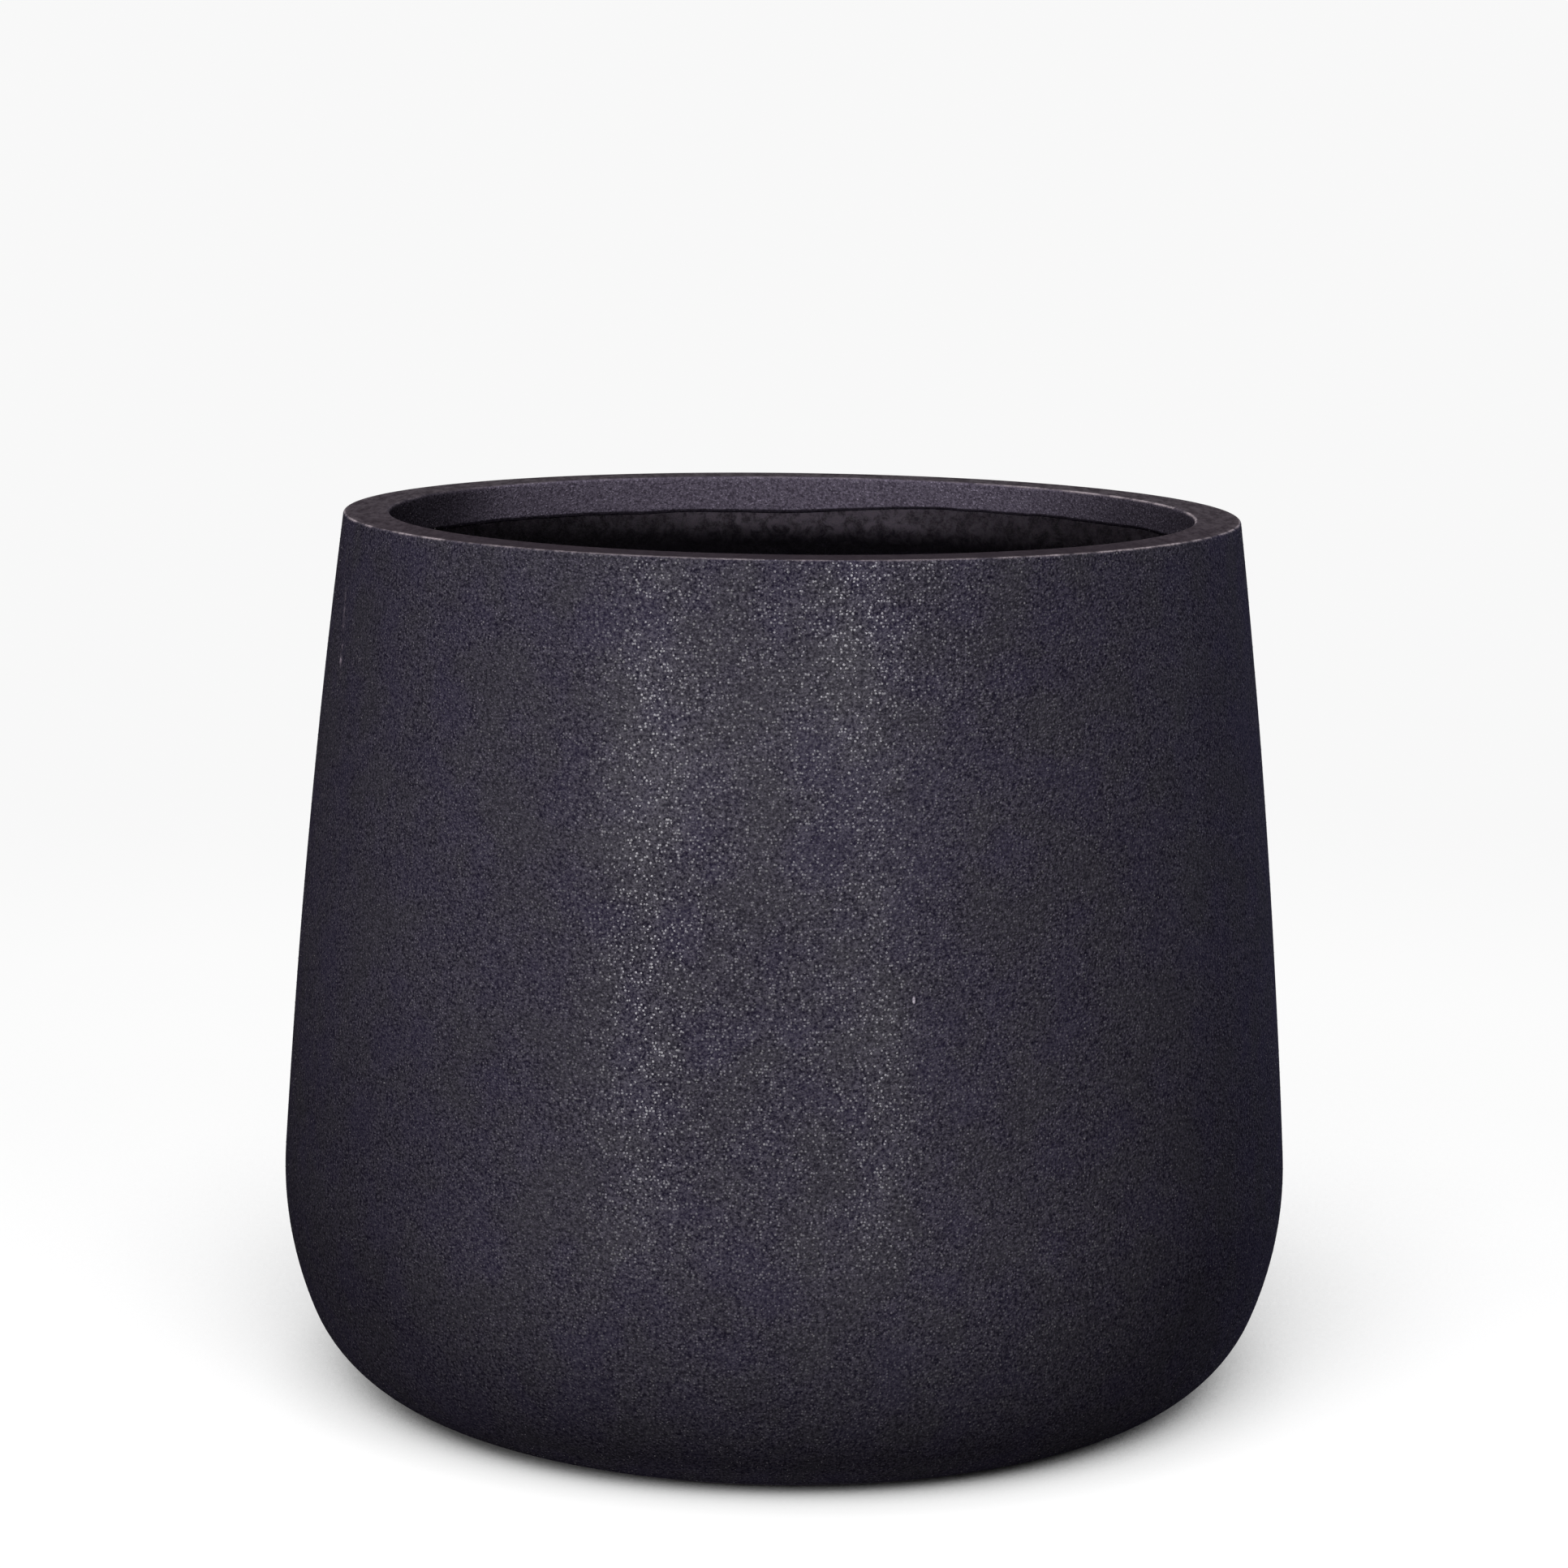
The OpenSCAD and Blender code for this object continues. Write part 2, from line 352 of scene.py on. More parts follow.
gritLook = {
    "dark": (0.016, 0.015, 0.022), "light": (0.20, 0.19, 0.195),
    "speckWidth": 0.0004, "specks": (0.4, 0.7, 0.0, 0.4), "roughness": 0.38, "specular": 0.1,
}


def gritFinish():
    look = gritLook
    material, bench, place = startFinish("grit")
    colour = bench.blend(reading(bench, "grainTone"), look["dark"], look["light"])
    speck = bench.noise(place, look["speckWidth"], detail=1.0)
    colour = bench.blend(bench.ramp(speck, *look["specks"]), colour, look["dark"])
    endSolid(bench, {"Base Color": colour, "Roughness": look["roughness"] + speck * 0.3,
                     "Specular IOR Level": look["specular"]})
    return material


clayLook = {
    "broadWidth": 0.030, "broad": (0.3, 0.7), "grainWidth": 0.0012, "pits": (0.10, 0.24, 1.0, 0.0),
    "pitShade": 0.4, "relief": 0.0005, "roughness": 0.78, "specular": 0.3,
}
castClayLook = {"dark": (0.050, 0.044, 0.041), "light": (0.11, 0.10, 0.095), "pitGap": 0.0090}
footClayLook = {"dark": (0.040, 0.036, 0.034), "light": (0.095, 0.088, 0.082), "pitGap": 0.0126}


def clayFinish(name, clay):
    look = clayLook
    material, bench, place = startFinish(name)
    broad = bench.noise(place, look["broadWidth"], detail=4.0, rough=0.6)
    grain = bench.noise(place, look["grainWidth"], detail=3.0, rough=0.6)
    pits = bench.ramp(bench.cells(place, clay["pitGap"]), *look["pits"])
    pale = bench.clamped(bench.ramp(broad, *look["broad"]) * 0.7 + grain * 0.4)
    colour = bench.blend(pale, clay["dark"], clay["light"])
    colour = bench.blend(pits * 0.7, colour, tuple(channel * look["pitShade"] for channel in clay["dark"]))
    relief = bump(bench, grain * 0.4 + broad * 0.8 - pits, look["relief"])
    endSolid(bench, {"Base Color": colour, "Roughness": look["roughness"] + (grain - 0.5) * 0.2,
                     "Normal": relief, "Specular IOR Level": look["specular"]})
    return material


matLook = {
    "dark": (0.085, 0.072, 0.090), "body": (0.305, 0.262, 0.322), "thread": (0.400, 0.345, 0.395),
    # painted shade: deeper inside, below the lit band under the lip, the mat goes near black
    "paintedDeepShade": (0.0260, 0.0185, 0.0360), "paintedDeepShadeBelow": (0.400, 0.412, 0.88, 0.0), "paintedDeepShadeWander": 0.012,
    "leftShade": (-0.165, -0.030, 0.45, 1.0), "rightShade": (0.030, 0.150, 1.0, 0.45),  # painted shade on the inside's left and right walls, by X
    "lumpWidth": 0.0065, "lumps": (0.36, 0.62), "poolWidth": 0.045, "pools": (0.35, 0.7, 0.0, 0.45),
    "threadWidth": 0.0011, "threadLength": 0.030, "threads": (0.56, 0.68), "threadAmount": 0.35,
    "layers": 4, "grainWidth": 0.0010, "relief": 0.0011, "roughness": 0.62, "specular": 0.12,
}


def fibreMatFinish():
    look = matLook
    material, bench, place = startFinish("fibreMat")
    x, z = bench.split(place)[::2]
    narrow, long = 1 / look["threadWidth"], 1 / look["threadLength"]
    threads = None
    for layer in range(look["layers"]):  # chopped threads lie in every direction
        laid = bench.node("ShaderNodeMapping", {}, {
            "Vector": place, "Rotation": (0.9 * layer, 0.35 + 1.7 * layer, 0.6 * layer),
            "Scale": (narrow, long, narrow)})
        strand = bench.ramp(bench.noise(laid, 1.0, detail=1.0), *look["threads"])
        threads = strand if threads is None else bench.maths("MAXIMUM", threads, strand)
    lump = bench.noise(place, look["lumpWidth"], detail=4.0, rough=0.62, warp=0.6)
    pool = bench.noise(place, look["poolWidth"], detail=2.0)
    grain = bench.noise(place, look["grainWidth"], detail=2.0, rough=0.6)
    # painted shade deeper inside the pot
    paintedDeepShade = bench.ramp(z + (lump - 0.5) * look["paintedDeepShadeWander"], *look["paintedDeepShadeBelow"])
    colour = bench.blend(bench.ramp(lump, *look["lumps"]), look["dark"], look["body"])
    colour = bench.blend(bench.ramp(pool, *look["pools"]), colour, look["dark"])
    colour = bench.blend(threads * look["threadAmount"], colour, look["thread"])
    colour = bench.blend(paintedDeepShade, colour, look["paintedDeepShade"])
    # painted shade towards the inside's left and right walls
    colour = bench.scaled(colour, bench.ramp(x, *look["leftShade"]) * bench.ramp(x, *look["rightShade"]))
    relief = bump(bench, lump * 1.6 + threads * look["threadAmount"] + grain * 0.2, look["relief"])
    endSolid(bench, {"Base Color": colour, "Roughness": look["roughness"] + (grain - 0.5) * 0.3,
                     "Normal": relief, "Specular IOR Level": look["specular"]})
    return material


rubberLook = {
    "dark": (0.016, 0.016, 0.017), "bloom": (0.045, 0.044, 0.043),
    "bloomWidth": 0.009, "blooms": (0.42, 0.75), "stippleWidth": 0.0005, "stippleDepth": 0.00012,
    "roughness": 0.46, "specular": 0.45,
}


def rubberFinish():
    look = rubberLook
    material, bench, place = startFinish("stopperRubber")
    stipple = bench.noise(place, look["stippleWidth"], detail=2.0)
    bloom = bench.noise(place, look["bloomWidth"], detail=3.0, rough=0.6)
    colour = bench.blend(bench.ramp(bloom, *look["blooms"]), look["dark"], look["bloom"])
    relief = bump(bench, stipple, look["stippleDepth"])
    endSolid(bench, {"Base Color": colour, "Roughness": look["roughness"] + bloom * 0.2,
                     "Normal": relief, "Specular IOR Level": look["specular"]})
    return material


def climb(angle):  # direction from an arc's centre to the point where the outline climbs at that angle
    return Vector((math.sin(angle), -math.cos(angle)))


def arcPoints(centre, radius, start, end, steps):
    return [centre + radius * climb(start + (end - start) * i / steps) for i in range(steps + 1)]


def wallArcs(depth, top, step):  # the wall's outline at a depth under its face, from the foot up
    size = outline
    belly = Vector((bellyReach - size["bellyCurve"], size["bellyHeight"]))
    cornerRun = size["bellyCurve"] - size["cornerCurve"]
    cornerX = belly.x + math.sqrt(cornerRun ** 2 - (size["bellyHeight"] - size["cornerCurve"]) ** 2)
    corner = Vector((cornerX, size["cornerCurve"]))
    toTop = Vector((size["mouthRadius"] + size["rimWidth"], cadTop)) - belly
    run = size["wallCurve"] - size["bellyCurve"]
    along = (run ** 2 - size["wallCurve"] ** 2 + toTop.length_squared) / (2 * toTop.length)
    across = math.sqrt(run ** 2 - along ** 2)
    wall = belly + (toTop * along + Vector((-toTop.y, toTop.x)) * across) / toTop.length
    cornerEnd = math.atan2((corner - belly).x, -(corner - belly).y)
    bellyEnd = math.atan2((belly - wall).x, -(belly - wall).y)
    wallEnd = math.acos((wall.y - top) / (size["wallCurve"] - depth))
    points = []
    for centre, radius, start, end in ((corner, size["cornerCurve"], 0, cornerEnd),
                                       (belly, size["bellyCurve"], cornerEnd, bellyEnd),
                                       (wall, size["wallCurve"], bellyEnd, wallEnd)):
        steps = max(2, round((radius - depth) * (end - start) / step))
        points += arcPoints(centre, radius - depth, start, end, steps)[1 if points else 0:]
    return points, wall


def profileObject(name, rows):  # rows of (radius, height, {mark: value}), closed into a loop
    rows = rows[::-1]
    mesh = bpy.data.meshes.new(name)
    edges = [(i, (i + 1) % len(rows)) for i in range(len(rows))]
    mesh.from_pydata([(row[0], 0, row[1]) for row in rows], edges, [])
    for mark in sorted({mark for row in rows for mark in row[2]}):
        layer = mesh.attributes.new(mark, "FLOAT", "POINT")
        layer.data.foreach_set("value", [row[2].get(mark, 0.0) for row in rows])
    piece = bpy.data.objects.new(name, mesh)
    bpy.context.scene.collection.objects.link(piece)
    return piece


def startTree(name, inputs):
    tree = bpy.data.node_groups.new(name, "GeometryNodeTree")
    tree.interface.new_socket("Geometry", in_out="INPUT", socket_type="NodeSocketGeometry")
    for title, kind, value in inputs:
        socket = tree.interface.new_socket(title, in_out="INPUT", socket_type="NodeSocket" + kind)
        if value is not None:
            socket.default_value = value
    tree.interface.new_socket("Geometry", in_out="OUTPUT", socket_type="NodeSocketGeometry")
    bench = Bench(tree)
    gate = tree.nodes.new("NodeGroupInput")
    return tree, bench, {socket.name: Wire(bench, socket) for socket in gate.outputs}


def endTree(bench, geometry, material):
    real = bench.node("GeometryNodeRealizeInstances", {}, {"Geometry": geometry})
    real = bench.node("GeometryNodeSetMaterial", {}, {"Geometry": real, "Material": material})
    bench.node("NodeGroupOutput", {}, {"Geometry": real})


def mark(bench, name):  # a number stored on the points
    return bench.node("GeometryNodeInputNamedAttribute", {"data_type": "FLOAT"}, {"Name": name})


def store(bench, geometry, name, value, domain="POINT"):
    return bench.node("GeometryNodeStoreNamedAttribute", {"data_type": "FLOAT", "domain": domain},
                      {"Geometry": geometry, "Name": name, "Value": value})


# The lip's lower edge is cut by hand: it rises towards the back right, and ripples.
edgeShape = {"riseStart": (0.0, 0.42), "riseEnd": (1.35, 2.60, 1.0, 0.0),  # bearings in radians
             "rippleWidth": 0.035, "rippleHeight": 0.0022, "drop": 0.0012}


def turningTree():  # carries a profile round the pot's axis and gives it its sway and lumps
    tree, bench, given = startTree("turnRoundAxis", [
        ("Segments", "Int", 384), ("Sway", "Float", 0.0), ("Sway Width", "Float", 0.12),
        ("Lump Height", "Float", 0.0), ("Lump Width", "Float", 0.015),
        ("Lip Rise", "Float", 0.0), ("Seed", "Float", 0.0), ("Material", "Material", None)])
    profile = given["Geometry"]
    count = bench.node("GeometryNodeAttributeDomainSize", {"component": "MESH"},
                       {"Geometry": profile}, "Point Count")
    body = bench.node("GeometryNodeMeshGrid", {}, {"Size X": 1.0, "Size Y": 1.0, "Vertices X": count + 1,
                                                  "Vertices Y": given["Segments"] + 1})
    here = bench.node("GeometryNodeInputPosition", {}, {})
    x, y = bench.split(here)[:2]
    row = bench.maths("MODULO", bench.maths("ROUND", (x + 0.5) * count), count)
    angle = (y + 0.5) * math.tau

    def fromProfile(value, kind):
        return bench.node("GeometryNodeSampleIndex", {"data_type": kind, "domain": "POINT"},
                          {"Geometry": profile, "Value": value, "Index": row})

    for name in ("land", "arris", "hang", "rough", "grit"):
        body = store(bench, body, name, fromProfile(mark(bench, name), "FLOAT"))
    radius, height = bench.split(fromProfile(here, "FLOAT_VECTOR"))[::2]
    turned = bench.joined({0: radius * bench.maths("COSINE", angle), 1: radius * bench.maths("SINE", angle),
                           2: height})
    body = bench.node("GeometryNodeSetPosition", {}, {"Geometry": body, "Position": turned})
    body = bench.node("GeometryNodeMergeByDistance", {}, {"Geometry": body, "Distance": 0.00001})

    shifted = bench.vectors("ADD", here, bench.joined({0: given["Seed"]}))
    lumps = bench.noise(shifted, given["Lump Width"], detail=3.0) - 0.5
    fine = bench.noise(shifted, given["Lump Width"] * 0.33, detail=2.0) - 0.5
    hill = (lumps * 1.6 + fine * 0.5) * given["Lump Height"] * mark(bench, "rough")
    sway = (bench.clamped(bench.noise(shifted, given["Sway Width"], detail=1.0)) - 0.75) * given["Sway"]
    facing = bench.node("GeometryNodeInputNormal", {}, {})
    levelFacing = bench.vectors("MULTIPLY", facing, (1.0, 1.0, 0.0))
    move = bench.vectors("ADD", bench.scaled(facing, hill), bench.scaled(levelFacing, sway))

    shape = edgeShape
    bearing = bench.maths("ARCTAN2", x, y)  # 0 at the back, growing towards +X
    rise = bench.ramp(bearing, *shape["riseStart"]) * bench.ramp(bearing, *shape["riseEnd"])
    ripple = (bench.noise(shifted, shape["rippleWidth"], detail=2.0) - 0.5) * shape["rippleHeight"]
    lift = (rise * given["Lip Rise"] + ripple - shape["drop"]) * mark(bench, "hang")
    move = bench.vectors("ADD", move, bench.joined({2: lift}))
    body = bench.node("GeometryNodeSetPosition", {}, {"Geometry": body, "Offset": move})
    body = bench.node("GeometryNodeSetShadeSmooth", {}, {"Geometry": body, "Shade Smooth": True})
    endTree(bench, body, given["Material"])
    return tree


def runTree(tree, source, settings, name):  # applies a tree and leaves a plain mesh object
    grower = source.modifiers.new("shape", "NODES")
    grower.node_group = tree
    sockets = {item.name: item.identifier for item in tree.interface.items_tree if item.in_out == "INPUT"}
    for title, value in settings.items():
        grower[sockets[title]] = value
    source.update_tag()
    shown = source.evaluated_get(bpy.context.evaluated_depsgraph_get())
    mesh = bpy.data.meshes.new_from_object(shown)
    mesh.name = name
    source.modifiers.remove(grower)
    piece = bpy.data.objects.new(name, mesh)
    bpy.context.scene.collection.objects.link(piece)
    return piece


def outwards(piece):  # a shell turned inside out has a negative volume
    shape = bmesh.new()
    shape.from_mesh(piece.data)
    bmesh.ops.delete(shape, geom=[edge for edge in shape.edges if edge.is_wire], context="EDGES")
    openEdges = sum(1 for edge in shape.edges if not edge.is_manifold)
    volume = shape.calc_volume(signed=True)
    if volume < 0:
        bmesh.ops.reverse_faces(shape, faces=shape.faces)
    shape.to_mesh(piece.data)
    shape.free()
    triangles = sum(len(face.vertices) - 2 for face in piece.data.polygons)
    print(f"{piece.name}: {triangles} triangles, {openEdges} open edges, {volume * 1e6:.1f} cm3")
    return piece


turning = turningTree()


def turn(name, rows, settings):
    print(name, len(rows), "rows")
    profile = profileObject(name + "Profile", rows)
    piece = runTree(turning, profile, settings, name)
    bpy.data.objects.remove(profile)
    return outwards(piece)


sandCoat = sandCoatFinish()
fibreMat = fibreMatFinish()
castClay = clayFinish("castClay", castClayLook)
footClay = clayFinish("footClay", footClayLook)
print("finishes ready")

coatShape = {
    "inset": 0.0004, "topInset": 0.0001,  # room for the grit within the pot's outline
    "step": 0.0047, "segments": 384, "sway": 0.0006, "swayWidth": 0.13, "seed": 3.0,
    "edgeSteps": 12, "edgeGap": 0.0005, "landFrom": 0.50, "outerArris": (0.60, 0.26),
    "landSteps": 6, "innerEdge": 0.0018, "innerEdgeSteps": 7, "innerArris": (0.45, 0.20),
    "lipDepth": 0.0185, "lipSteps": 8, "lipRise": 0.0041, "lipRound": 0.0005,
    "hiddenStep": 0.016, "hiddenBend": 0.008, "hiddenTop": 0.006, "hiddenCorner": 0.004,
}


def bell(share, middle, width):  # 1 at the middle, fading to both sides
    return math.exp(-((share - middle) / width) ** 2)


def between(low, value, high):
    return min(high, max(low, value))


def coatRows():
    size, shape = outline, coatShape
    top = cadTop - shape["topInset"]
    edge = size["rimEdge"] - shape["inset"]
    edgeTop = cadTop - size["rimEdge"]
    side, wall = wallArcs(shape["inset"], edgeTop, shape["step"])
    edgeAngle = math.acos((wall.y - edgeTop) / (size["wallCurve"] - size["rimEdge"]))
    edgeCentre = wall + (size["wallCurve"] - size["rimEdge"]) * climb(edgeAngle)
    edgeCentre.y = top - edge
    rows = [(p.x, p.y, {"grit": 1.0}) for p in side if p.y < edgeTop - shape["edgeGap"]]

    steps = shape["edgeSteps"]  # the rim's outer edge
    for i, p in enumerate(arcPoints(edgeCentre, edge, edgeAngle, math.pi, steps)):
        share = i / steps
        land = between(0.0, (share - shape["landFrom"]) * 4, 1.0)
        arris = bell(share, *shape["outerArris"])
        rows.append((p.x, p.y, {"land": land, "arris": arris, "grit": max(0.0, 1 - share * 2.5)}))
    face = size["mouthRadius"] + shape["inset"]
    innerCentre = Vector((face + shape["innerEdge"], top - shape["innerEdge"]))
    outer, inner = rows[-1][0], innerCentre.x
    steps = shape["landSteps"]  # its level land
    rows += [(outer + (inner - outer) * i / steps, top, {"land": 1.0}) for i in range(1, steps)]
    steps = shape["innerEdgeSteps"]
    for i, p in enumerate(arcPoints(innerCentre, shape["innerEdge"], math.pi, 1.5 * math.pi, steps)):
        share = i / steps
        arris = bell(share, *shape["innerArris"])
        rows.append((p.x, p.y, {"land": max(0.0, 1 - share * 1.4), "arris": arris}))

    bottom = cadTop - shape["lipDepth"]
    start = innerCentre.y
    steps = shape["lipSteps"]  # the lip's face, down to its cut edge
    for i in range(1, steps + 1):
        share = i / steps
        z = start + (bottom + shape["lipRound"] - start) * share
        rows.append((face, z, {"hang": share, "grit": 1.0}))
    rows.append((face + shape["lipRound"] * 0.4, bottom + shape["lipRound"] * 0.2, {"hang": 1.0}))
    back = size["mouthRadius"] + size["coatFace"]
    underside = cadTop - size["coatFace"]
    rows += [(back, bottom, {"hang": 1.0}), (back, cadTop - shape["hiddenBend"], {"hang": 0.3}),
             (back, underside, {})]
    innerSide = wallArcs(size["coatFace"], cadTop - shape["hiddenTop"], shape["hiddenStep"])[0]
    rows.append((innerSide[-1].x - shape["hiddenCorner"], underside, {}))
    return rows + [(p.x, p.y, {}) for p in reversed(innerSide)]


coat = turn("sandCoatShell", coatRows(), {
    "Segments": coatShape["segments"], "Sway": coatShape["sway"], "Sway Width": coatShape["swayWidth"],
    "Lip Rise": coatShape["lipRise"], "Seed": coatShape["seed"], "Material": sandCoat})
print("coat turned")

lipShape = {
    "slack": 0.00005, "backSlack": 0.0002, "rounding": 0.0012, "roundSteps": 4, "lift": 0.0006,
    "faceBend": 0.004, "backBends": (0.0035, 0.0065), "topBend": 0.001,  # heights above and below its ends
    "lumpHeight": 0.0008, "lumpWidth": 0.006,
}


def lipRows():
    shape = lipShape
    low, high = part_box("return_lip")
    inner = outline["mouthRadius"] + outline["coatFace"] + shape["slack"]
    outer = high.x - shape["backSlack"]
    bottom = low.z + shape["lift"]
    rounding, steps = shape["rounding"], shape["roundSteps"]
    innerCentre = Vector((inner + rounding, bottom + rounding))
    outerCentre = Vector((outer - rounding, bottom + rounding))
    innerEdge = arcPoints(innerCentre, rounding, 1.5 * math.pi, 2 * math.pi, steps)
    outerEdge = arcPoints(outerCentre, rounding, 0, 0.5 * math.pi, steps)
    lowBend, highBend = [low.z + bend for bend in shape["backBends"]]
    rows = [(inner, high.z, {}), (inner, low.z + shape["faceBend"], {"hang": 0.8})]
    rows.append((inner, bottom, {"hang": 1.0}))
    rows += [(p.x, p.y, {"hang": 1.0, "rough": 0.5}) for p in innerEdge[1:]]
    rows += [(p.x, p.y, {"hang": 1.0, "rough": 1.0}) for p in outerEdge]
    rows.append((outer, lowBend, {"hang": 0.7, "rough": 1.0}))
    rows.append((outer, highBend, {"hang": 0.4, "rough": 1.0}))
    return rows + [(outer, high.z - shape["topBend"], {"rough": 0.5}), (outer, high.z, {})]


# The lip's clay has the coat's segments, rise and seed, so that their lower edges run together.
lip = turn("lipCore", lipRows(), {
    "Segments": coatShape["segments"], "Lip Rise": coatShape["lipRise"], "Seed": coatShape["seed"],
    "Lump Height": lipShape["lumpHeight"], "Lump Width": lipShape["lumpWidth"], "Material": castClay})

wallMatShape = {
    "lumpHeight": 0.0034, "lumpWidth": 0.016, "seed": 11.0, "segments": 400, "step": 0.0047,
    "hiddenStep": 0.016, "startAbove": 0.0004, "lapUnder": 0.0006, "lapIn": 0.004,
    "rimCalm": 0.006, "floorCalm": 0.02,  # over these heights the lumps fade in
}


def wallMatRows():
    shape = wallMatShape
    low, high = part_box("wall_lining")
    inner = wallArcs(outline["matFace"], high.z, shape["step"])[0]
    outer = wallArcs(outline["shellFace"], high.z, shape["hiddenStep"])[0]
    inner, outer = [[p for p in side if p.y > low.z + shape["startAbove"]] for side in (inner, outer)]
    under = low.z - shape["lapUnder"]
    rows = [(inner[0].x - shape["lapIn"], under, {}), (outer[0].x, under, {})]
    rows += [(p.x, p.y, {}) for p in outer]
    for p in reversed(inner):  # smoother under the rim and where it meets the floor's mat
        below = min(1.0, (high.z - p.y) / shape["rimCalm"] + 0.15)
        above = min(1.0, (p.y - low.z) / shape["floorCalm"] + 0.2)
        rows.append((p.x, p.y, {"rough": below * above}))
    return rows


wallMat = turn("wallMat", wallMatRows(), {
    "Segments": wallMatShape["segments"], "Lump Height": wallMatShape["lumpHeight"],
    "Lump Width": wallMatShape["lumpWidth"], "Seed": wallMatShape["seed"], "Material": fibreMat})

floorMatShape = {
    "lumpHeight": 0.0030, "lumpWidth": 0.018, "seed": 19.0, "segments": 256, "steps": 42,
    "holeRadius": 0.0125, "holeEdge": 0.0004, "seatRadius": 0.024, "wallSlack": 0.0006,
    "seatCalm": 0.02, "wallCalm": 0.008,  # over these widths the lumps fade in
    "edgeRun": 0.002, "edgeFall": 0.0012,
}


def floorMatRows():
    shape = floorMatShape
    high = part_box("floor_lining")[1]
    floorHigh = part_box("base_floor")[1]
    hole, edge, steps = shape["holeRadius"], shape["holeEdge"], shape["steps"]
    reach = high.x - shape["wallSlack"]
    rows = [(hole, floorHigh.z, {}), (hole, high.z - edge, {}), (hole + edge, high.z, {})]
    for i in range(1, steps + 1):  # smooth under the stopper's flange and at the wall
        radius = hole + (reach - hole) * i / steps
        past = between(0.0, (radius - shape["seatRadius"]) / shape["seatCalm"], 1.0)
        rows.append((radius, high.z, {"rough": past * min(1.0, (reach - radius) / shape["wallCalm"])}))
    rows += [(reach - shape["edgeRun"], high.z - shape["edgeFall"], {}), (floorHigh.x, floorHigh.z, {})]
    return rows[::-1]


floorMat = turn("floorMat", floorMatRows(), {
    "Segments": floorMatShape["segments"], "Lump Height": floorMatShape["lumpHeight"],
    "Lump Width": floorMatShape["lumpWidth"], "Seed": floorMatShape["seed"], "Material": fibreMat})
print("lip and mats turned")

stopperShape = {
    "segments": 96, "stemTip": 0.0107, "stemTaper": 0.0014, "stemSteps": 24, "ribs": 3, "ribProud": 0.00012,
    "flangeThick": 0.0035, "neckRadius": 0.0055, "knobRadius": 0.0085, "knobThick": 0.0055,
    "rounding": 0.0014, "roundSteps": 6, "dimple": 0.0012,
}


def stopperRows():
    shape = stopperShape
    low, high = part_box("drain_plug")
    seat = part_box("floor_lining")[1].z
    flange, neck, knob = high.x, shape["neckRadius"], shape["knobRadius"]
    flangeTop, knobLow = seat + shape["flangeThick"], high.z - shape["knobThick"]
    rounding, quarter = shape["rounding"], 0.5 * math.pi
    tip = low.z + 0.0006

    def rounded(x, z, start):  # a quarter turn about (x, z)
        points = arcPoints(Vector((x, z)), rounding, start, start + quarter, shape["roundSteps"])
        return [(p.x, p.y) for p in points]

    rows = [(0.0, tip), (0.008, tip), (0.0100, low.z + 0.0001), (0.0106, low.z + 0.0005)]
    for i in range(1, shape["stemSteps"] + 1):  # the stem, with shallow sealing ribs
        share = i / shape["stemSteps"]
        swell = shape["ribProud"] * (0.5 - 0.5 * math.cos(math.tau * share * shape["ribs"]))
        rows.append((shape["stemTip"] + shape["stemTaper"] * share + swell, tip + (seat - tip) * share))
    rows += [(0.0150, seat + 0.0002), (flange - 0.0008, seat + 0.00005), (flange - 0.0001, seat + 0.0006)]
    rows += rounded(flange - rounding, flangeTop - rounding, quarter)
    rows += [(flange - 0.006, flangeTop), (neck + 0.0025, flangeTop + 0.0001)]  # the flange runs up
    rows += [(neck + 0.0009, flangeTop + 0.0006), (neck, flangeTop + 0.0020)]  # into the neck
    rows += [(neck - 0.0001, knobLow - 0.0008), (neck + 0.0008, knobLow)]
    rows += rounded(knob - rounding, knobLow + rounding, 0)
    rows += rounded(knob - rounding, high.z - rounding, quarter)
    dimple = high.z - shape["dimple"]
    rows += [(0.0048, high.z - 0.0002), (0.0030, high.z - 0.0009), (0.0014, dimple), (0.0, dimple - 0.0001)]
    return [(radius, height, {}) for radius, height in rows]


stopper = turn("rubberStopper", stopperRows(), {
    "Segments": stopperShape["segments"], "Material": rubberFinish()})
print("stopper turned")

gritShape = {
    "perSquareMetre": 45000.0, "closest": 0.0022, "size": 0.00042, "smallest": 0.55, "sunk": 0.00012,
    "seed": 7, "sizeSeed": 21, "turnSeed": 22, "toneSeed": 23,
}


